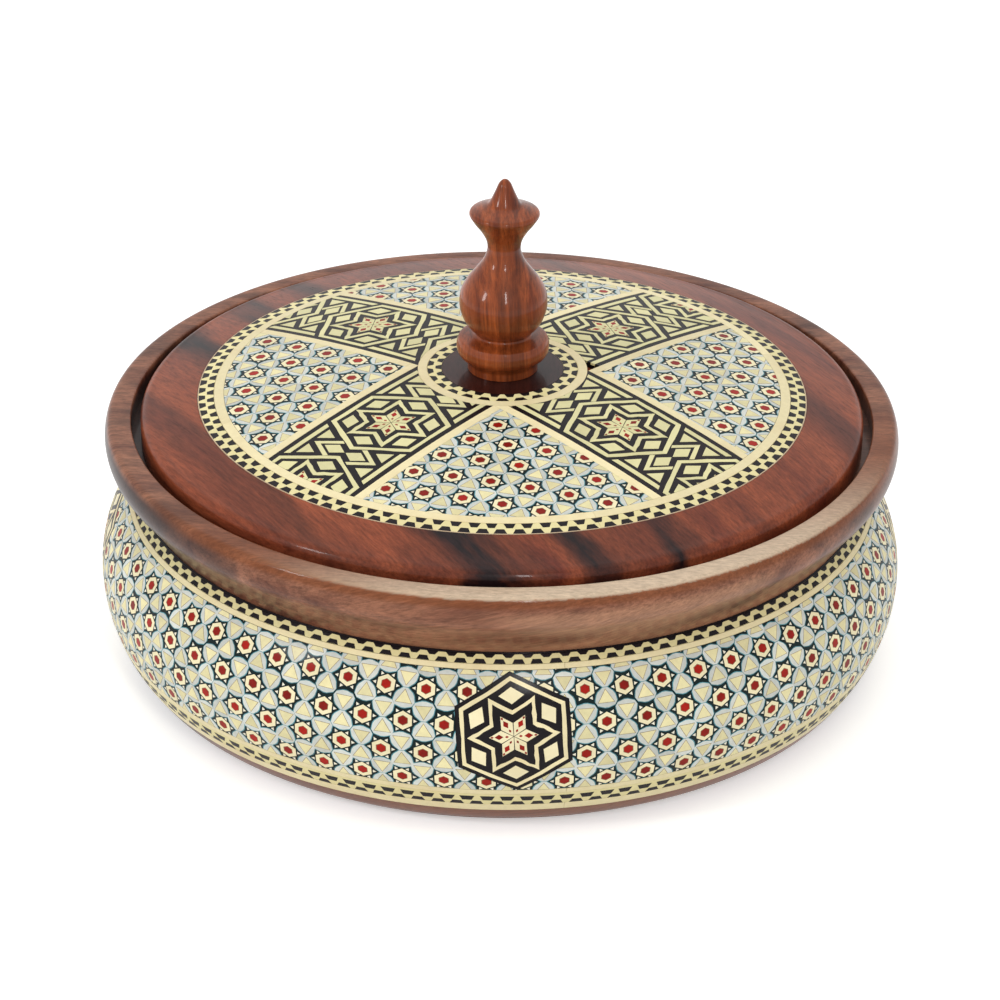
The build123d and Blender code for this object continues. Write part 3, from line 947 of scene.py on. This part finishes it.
for step in range(9):
    radius = recess * (1 - step / 8)
    lid_section.append((max(radius, 0.0), dome_height(radius, recess_depth)))
lid_disc = turn_on_lathe("lid_disc_turned", lid_section, 256)
lid_disc.data.materials.append(lid_wood)
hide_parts("lid_disc")
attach(lid_disc, "lid")

# Rings of the lid
# Toothed and plain strips like those of the belly, bent into rings and glued round
# the pattern and round the middle disc.
outer_cream_radius = 72.7
pattern_radius = 70.2
inner_cream_radius = 21.4
inner_tooth_radius = 19.0
centre_disc_radius = 15.4


def on_ring(u, v):
    """Place on the lid, u mm round it at the inlay's edge and v mm in from there."""
    turn = u / inlay_radius
    radius = inlay_radius - v
    x, y = radius * sin(turn), -radius * cos(turn)
    return on_lid(x, y)


def on_lid(x, y):
    """Place on the dome and its outward direction, from above."""
    place = Vector((x, y, dome_height(hypot(x, y))))
    outward = Vector((x, y, place.z - crown_height + dome_radius)).normalized()
    return place, outward


ring_lanes = (3.0, 2.4)
edge_line = inlay_material("pale_edge_line", (206, 180, 150), 0.05, (150, 110, 80))
ring_length = 2 * pi * inlay_radius
for node, outer, inner, teeth, slot_name in (
    ("lid_outer_tooth_band", inlay_radius, outer_cream_radius + seam, 110, "tooth_inlay"),
    ("lid_outer_cream_ring", outer_cream_radius - seam, pattern_radius + seam, 0, "cream_inlay"),
    ("lid_inner_cream_ring", inner_cream_radius - seam, inner_tooth_radius + seam, 0, "cream_inlay"),
    ("lid_inner_tooth_band", inner_tooth_radius - seam, centre_disc_radius + seam, 26, "tooth_inlay"),
):
    low, high = inlay_radius - outer, inlay_radius - inner
    wide_ring = outer > pattern_radius
    joints = 4 if wide_ring else 1
    top = tooth_ground if teeth else 0.0
    chips = []
    for k in range(joints):
        start = ring_length * (k + 0.2) / joints
        end = start + ring_length / joints - (0.06 if wide_ring else 0.0)
        chips.append(([strip_polygon(low, high, start, end)], top, inlay_bottom, 0))
    if teeth:
        rise = high - low
        foot = low + (0.3 if wide_ring else 0.03)
        rows = (
            (foot, foot + 0.4 * rise, 0.72, 0.42),
            (high - 0.02, high - 0.42 * rise, 0.68, 0.36),
        )
        chips += tooth_chips(rows, teeth, ring_length)
        if wide_ring:
            chips.append(([strip_polygon(0.0, 0.25)], 0.0, chip_bottom, 2))
    cream = tooth_bone if teeth else bone
    ring = lay_chips(f"{node}_pieces", chips, on_ring, ring_lanes, [cream, ebony, edge_line])
    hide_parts(node)
    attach(ring, "lid")

# Star bands and their strips
# Four straight bands sawn from a wide rod of ebony and bone, each between two bone
# strips, laid from the inner ring to the outer ring and butted where they meet.
star_bands = {
    "back_right": (47.4, -1.8, (26.94, 28.41)),
    "back_left": (142.4, -2.55, (-32.54, 30.87)),
    "front_left": (230.5, -2.6, (-28.15, -28.05)),
    "front_right": (314.4, 0.55, (30.16, -28.75)),
}
strip_in = 14.5
strip_out = 16.8
lid_lanes = (7.0, 7.0)
old_bone = inlay_material("old_bone", (226, 219, 166), 0.08, (196, 182, 122))
band_stuffs = [ebony, old_bone, old_bone, red_bone]
cell_pitch = 33.6
cell_reach = 15.0
line_width = 1.2


def left_limit(band, distance):
    """Half plane right of a line that lies distance mm left of a band's middle line."""
    direction, shift = star_bands[band][:2]
    turn = radians(direction)
    return (-sin(turn), cos(turn), shift + distance)


hole_reach = inner_cream_radius + seam
inner_hole = [(hole_reach * cos(2 * pi * k / 60), hole_reach * sin(2 * pi * k / 60)) for k in range(60)]


def cut_by(polygon, limits):
    """The parts of a convex polygon inside the half planes and between the two rings."""
    for across, along, limit in limits:
        if len(polygon) > 2:
            polygon = clipped(polygon, across, along, limit)
    edge = pattern_radius - seam
    for k in range(120):
        turn = 2 * pi * k / 120
        if len(polygon) > 2 and max(hypot(*point) for point in polygon) > edge:
            polygon = clipped(polygon, cos(turn), sin(turn), edge)
    if len(polygon) < 3:
        return []
    if min(hypot(*point) for point in polygon) > inner_cream_radius + 10:
        return [polygon]
    return outside(polygon, inner_hole)


def flipped(limit):
    return (-limit[0], -limit[1], -limit[2])


band_names = list(star_bands)
for index, name in enumerate(band_names):
    direction, shift, star_centre = star_bands[name]
    left_name = band_names[(index + 1) % 4]
    right_name = band_names[index - 1]
    turn = radians(direction)
    star_along = star_centre[0] * cos(turn) + star_centre[1] * sin(turn)

    def on_band(points, middle=(0.0, 0.0)):
        return [swung(a + middle[0], b + (middle[1] + shift), turn) for a, b in points]

    def bar(start, end, low, high):
        return on_band([(start, low), (end, low), (end, high), (start, high)])

    core_limits = [left_limit(name, strip_in - seam), flipped(left_limit(name, seam - strip_in))]
    core_limits.append(left_limit(left_name, -strip_in - seam))
    pattern = []
    for start in range(8, 80, 12):
        pattern.append(([bar(start, start + 12, -strip_in, strip_in)], plate_depth, inlay_bottom, EBONY))
    for step in (-1, 0, 1):
        middle = (star_along + step * cell_pitch, 0.0)

        def in_cell(points, middle=middle):
            return on_band([(b, -a) for a, b in points], middle)

        star_plate(pattern, in_cell, cell_reach, line_width, 11.5, 6.5)
        knot = star_along + (step + 0.5) * cell_pitch
        for flip in (1, -1):

            def by_knot(points, knot=knot, flip=flip):
                placed = on_band([(a, b * flip) for a, b in points], (knot, 0.0))
                if area(placed) < 0:
                    placed.reverse()
                return placed

            for figure_points, stuff in (
                ([(0, 0.2), (2.0, 3.4), (0, 6.6), (-2.0, 3.4)], PALE),
                ([(-3.75, 3.9), (-3.05, 2.85), (0.0, 8.0), (0.0, 10.0)], BONE),
                ([(3.75, 3.9), (3.05, 2.85), (0.0, 8.0), (0.0, 10.0)], BONE),
                ([(-6.0, 10.5), (-1.5, 10.5), (-3.75, 6.7)], PALE),
                ([(6.0, 10.5), (1.5, 10.5), (3.75, 6.7)], PALE),
                ([(-7.0, 11.6), (7.0, 11.6), (7.8, 12.95), (-7.8, 12.95)], BONE),
            ):
                pattern.append(([by_knot(figure_points)], 0.0, chip_bottom, stuff))
    chips = []
    for polygons, top, bottom, stuff in pattern:
        parts = [part for polygon in polygons for part in cut_by(polygon, core_limits)]
        chips.append((parts, top, bottom, stuff))
    band = lay_chips(f"lid_star_band_{name}_plate", chips, on_lid, lid_lanes, band_stuffs)
    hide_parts(f"lid_star_band_{name}")
    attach(band, "lid")
    for side, low, high, butt in (
        ("left", strip_in, strip_out, left_limit(left_name, -strip_out - glue_gap)),
        ("right", -strip_out, -strip_in, flipped(left_limit(right_name, strip_in + seam))),
    ):
        limits = [left_limit(name, high), flipped(left_limit(name, low)), butt]
        piece = lay_chips(
            f"lid_strip_{name}_{side}_bone",
            [(cut_by(bar(5, 72, low, high), limits), 0.0, inlay_bottom, 0)],
            on_lid,
            lid_lanes,
            [bone],
        )
        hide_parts(f"lid_strip_{name}_{side}")
        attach(piece, "lid")

# Lid sectors
# The same star sheets as on the belly, cut to four fans between the star bands.
fans = {
    "front": ("front_left", "front_right", 9.54, 45.9, (-2.40, -55.98)),
    "right": ("front_right", "back_right", 9.80, 17.9, (51.21, 1.89)),
    "back": ("back_right", "back_left", 9.80, 31.0, (1.2, 52.0)),
    "left": ("back_left", "front_left", 9.97, 23.4, (-55.10, -2.01)),
}
for name, (right_band, left_band, pitch, angle, seed) in fans.items():
    turn = radians(angle)
    row = (pitch * cos(turn), pitch * sin(turn))
    column = (-row[1], row[0])
    limits = [flipped(left_limit(right_band, strip_out + seam))]
    limits.append(left_limit(left_band, -strip_out - seam))
    sheet = []
    for a in range(-9, 10):
        for b in range(-9, 10):
            centre = (
                seed[0] + (a + b * 0.5) * row[0] + b * lattice_rise * column[0],
                seed[1] + (a + b * 0.5) * row[1] + b * lattice_rise * column[1],
            )
            if hypot(*centre) < pattern_radius + pitch:
                star_cell(sheet, centre, row, column)
    spot = {"front": (0, -1), "right": (1, 0), "back": (0, 1), "left": (-1, 0)}[name]
    chips = []
    for a in range(-80, 80, 10):
        for b in range(-80, 80, 10):
            square = [(a, b), (a + 10, b), (a + 10, b + 10), (a, b + 10)]
            chips.append((cut_by(square, limits), ground_depth, inlay_bottom, GROUND))
    for polygon, top, bottom, stuff in sheet:
        chips.append((cut_by(polygon, limits), top, bottom, stuff))
    chips = [
        chip
        for chip in chips
        if chip[0] and sum(p[0] * spot[0] + p[1] * spot[1] for p in chip[0][0]) > 0
    ]
    fan = lay_chips(f"lid_sector_{name}_stars", chips, on_lid, lid_lanes, field_stuffs)
    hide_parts(f"lid_sector_{name}")
    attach(fan, "lid")

# Centre disc
# A disc of the dark wood let in under the knob.
centre_wood = lacquered_wood(
    "centre_wood_lacquer",
    pale=(62, 28, 22),
    deep=(40, 18, 16),
    streak=(28, 16, 16),
    band_scale=60.0,
    streak_amount=0.6,
    fibre_scale=1300.0,
    grain=(1.0, 0.15, 1.0),
    gloss=0.04,
)
tenon_hole = 4.1
disc_outer = centre_disc_radius - seam
disc_section = [(tenon_hole, dome_height(tenon_hole, inlay_bottom))]
disc_section += [(disc_outer, dome_height(disc_outer, inlay_bottom))]
disc_section += [(disc_outer, dome_height(disc_outer)), (tenon_hole, dome_height(tenon_hole))]
centre_disc = turn_on_lathe("lid_centre_disc_turned", disc_section, 128)
centre_disc.data.materials.append(centre_wood)
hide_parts("lid_centre_disc")
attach(centre_disc, "lid")

# Knob
# A finial turned from rosewood with the grain upright, its tenon glued in the lid.
knob_wood = lacquered_wood(
    "knob_wood_lacquer",
    pale=(170, 86, 42),
    deep=(98, 38, 14),
    streak=(54, 22, 12),
    band_scale=320.0,
    streak_amount=0.5,
    lacquer=0.42,
    fibre_scale=1900.0,
    grain=(1.0, 0.22, 0.03),
    turned=(0, 3, 0),
    gloss=0.09,
)


def smooth_run(points, steps=7):
    """A smooth line through points of the section."""
    run = []
    count = len(points)
    for index in range(count - 1):
        p0 = points[max(index - 1, 0)]
        p1, p2 = points[index], points[index + 1]
        p3 = points[min(index + 2, count - 1)]
        for step in range(steps):
            t = step / steps
            run.append(
                tuple(
                    0.5
                    * (
                        2 * p1[k]
                        + (p2[k] - p0[k]) * t
                        + (2 * p0[k] - 5 * p1[k] + 4 * p2[k] - p3[k]) * t**2
                        + (3 * p1[k] - p0[k] - 3 * p2[k] + p3[k]) * t**3
                    )
                    for k in (0, 1)
                )
            )
    run.append(points[-1])
    return run


knob_height = 50.9
knob_section = [(0, -8.5), (4.0, -8.5), (4.0, 0.0), (8.8, 0.0), (8.8, 0.9)]
for run in (
    [(8.82, 1.0), (8.95, 2.0), (9.9, 3.2), (10.88, 4.0)],
    [(10.88, 4.0), (11.45, 5.0), (11.65, 6.3), (11.5, 7.5), (11.13, 8.4)],
    [(11.13, 8.4), (10.6, 8.62), (8.6, 9.0), (7.5, 9.35), (7.15, 9.9), (7.45, 10.4)],
    [(7.45, 10.4), (8.5, 11.5), (9.9, 13.6), (10.8, 16.2), (11.0, 18.4), (10.6, 21.2),
     (9.0, 24.2), (7.0, 26.8), (5.2, 29.4), (4.2, 32.3), (4.45, 34.8), (5.85, 37.4),
     (7.3, 39.3), (8.55, 41.2)],
    [(8.55, 41.2), (8.71, 41.55), (8.73, 41.9), (8.62, 42.25), (8.3, 42.6)],
    [(8.3, 42.6), (6.6, 43.3), (5.0, 43.9), (4.1, 44.4), (3.45, 45.4), (2.75, 46.9),
     (2.1, 48.4), (1.6, 49.6), (1.1, 50.3), (0.6, 50.75), (0.0, knob_height)],
):
    knob_section += smooth_run(run)[1:]
knob_section = [(max(radius, 0.0), crown_height + height) for radius, height in knob_section]
knob = turn_on_lathe("lid_knob_turned", knob_section, 128, crease=40)
knob.data.materials.append(knob_wood)
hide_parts("lid_knob")
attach(knob, "lid")

# Floor
# A plain pale table that carries the bowl and its shadow.
def seen_directly(tree):
    """1 for rays from the camera, in a reflection or through glass, 0 for the light."""
    path = add_node(tree, "LightPath")
    seen = path.outputs["Is Camera Ray"]
    for ray in ("Is Glossy Ray", "Is Transmission Ray"):
        seen = reckoned(tree, "MAXIMUM", seen, path.outputs[ray])
    return seen


floor_material, floor_tree, floor_shader = new_material("floor_pale")
floor_glow = reckoned(floor_tree, "MULTIPLY", seen_directly(floor_tree), 0.42)
set_sockets(
    floor_tree,
    floor_shader,
    {"Base Color": (0.9, 0.9, 0.9, 1), "Roughness": 0.9, "Specular IOR Level": 0.1,
     "Emission Color": (1, 1, 1, 1), "Emission Strength": floor_glow},
)
floor_mesh = bpy.data.meshes.new("floor")
floor_mesh.from_pydata([(-4, -4, 0), (4, -4, 0), (4, 4, 0), (-4, 4, 0)], [], [(0, 1, 2, 3)])
floor_mesh.materials.append(floor_material)
table_top = bpy.data.objects.new("floor", floor_mesh)
bpy.context.scene.collection.objects.link(table_top)

# Studio light
# A white room, with a broad lamp above, a soft box at the left and a narrow strip in front.
world = bpy.data.worlds.new("white_room")
bpy.context.scene.world = world
world.use_nodes = True
world_tree = world.node_tree
room = world_tree.nodes["Background"]
room_light = mixed(world_tree, seen_directly(world_tree), (0.74, 0.74, 0.74, 1), (1, 1, 1, 1))
set_sockets(world_tree, room, {"Color": room_light, "Strength": 1.0})


def soft_box(name, place, aim, width, height, power):
    lamp = bpy.data.lights.new(name, "AREA")
    lamp.shape = "RECTANGLE"
    lamp.size = width
    lamp.size_y = height
    lamp.energy = power
    holder = bpy.data.objects.new(name, lamp)
    holder.location = place
    holder.rotation_euler = (Vector(aim) - Vector(place)).to_track_quat("-Z", "Y").to_euler()
    bpy.context.scene.collection.objects.link(holder)


soft_box("top_box", (0.0, 0.1, 0.9), (0, 0, 0.05), 0.9, 0.9, 1.1)
soft_box("front_strip", (0.1, -0.75, 0.62), (0, 0, 0.06), 0.05, 0.3, 1.3)
soft_box("left_box", (-0.75, -0.45, 0.55), (0, 0, 0.06), 0.13, 0.2, 1.7)

# Camera
# A long lens a little under a metre away, looking down at the bowl.
camera_data = bpy.data.cameras.new("camera")
camera_data.lens = 126.12
camera_data.sensor_width = 36.0
camera = bpy.data.objects.new("camera", camera_data)
lift = radians(27.61)
camera_distance = 0.9
aim_point = Vector((-0.00022, 0.0, 0.03865))
camera.location = aim_point + Vector((0, -camera_distance * cos(lift), camera_distance * sin(lift)))
look = (aim_point - camera.location).to_track_quat("-Z", "Y").to_matrix()
camera.rotation_euler = (look @ Matrix.Rotation(radians(0.742), 3, "Z")).to_euler()
bpy.context.scene.collection.objects.link(camera)
bpy.context.scene.camera = camera
bpy.context.scene.view_settings.view_transform = "Standard"
